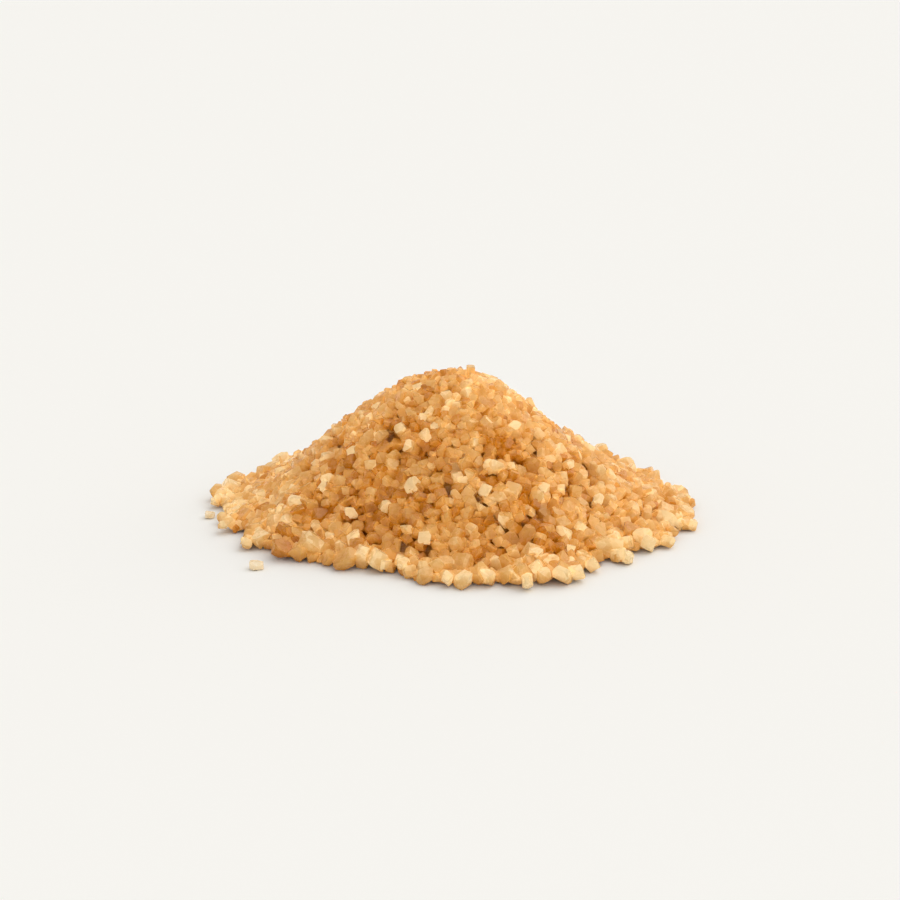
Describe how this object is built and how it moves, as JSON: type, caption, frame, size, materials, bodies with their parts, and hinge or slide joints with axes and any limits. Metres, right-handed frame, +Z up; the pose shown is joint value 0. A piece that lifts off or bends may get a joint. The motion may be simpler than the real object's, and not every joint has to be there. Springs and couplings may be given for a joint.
{
  "type": "crystal sugar",
  "caption": "Small loose heap of coarse golden crystal sugar, as poured on a flat surface, with stray crystals beside its foot.",
  "frame": {"origin": "on the surface that the heap lies on, under the middle of the whole bounding box", "axes": "+Z up, +X along the heap's longest side to the viewer's right, -Y towards the viewer"},
  "size_m": [0.0536, 0.0484, 0.016],
  "materials": {
    "golden_crystal": "translucent golden-brown sugar crystals with glossy flat faces, a heap that reads as satin",
    "pale_crystal": "single translucent pale golden sugar crystals, clearer and lighter than the heap"
  },
  "bodies": {
    "root": {"sugar_heap": "golden_crystal", "stray_crystal_front": "pale_crystal", "stray_crystal_left": "pale_crystal"}
  },
  "joints": []
}
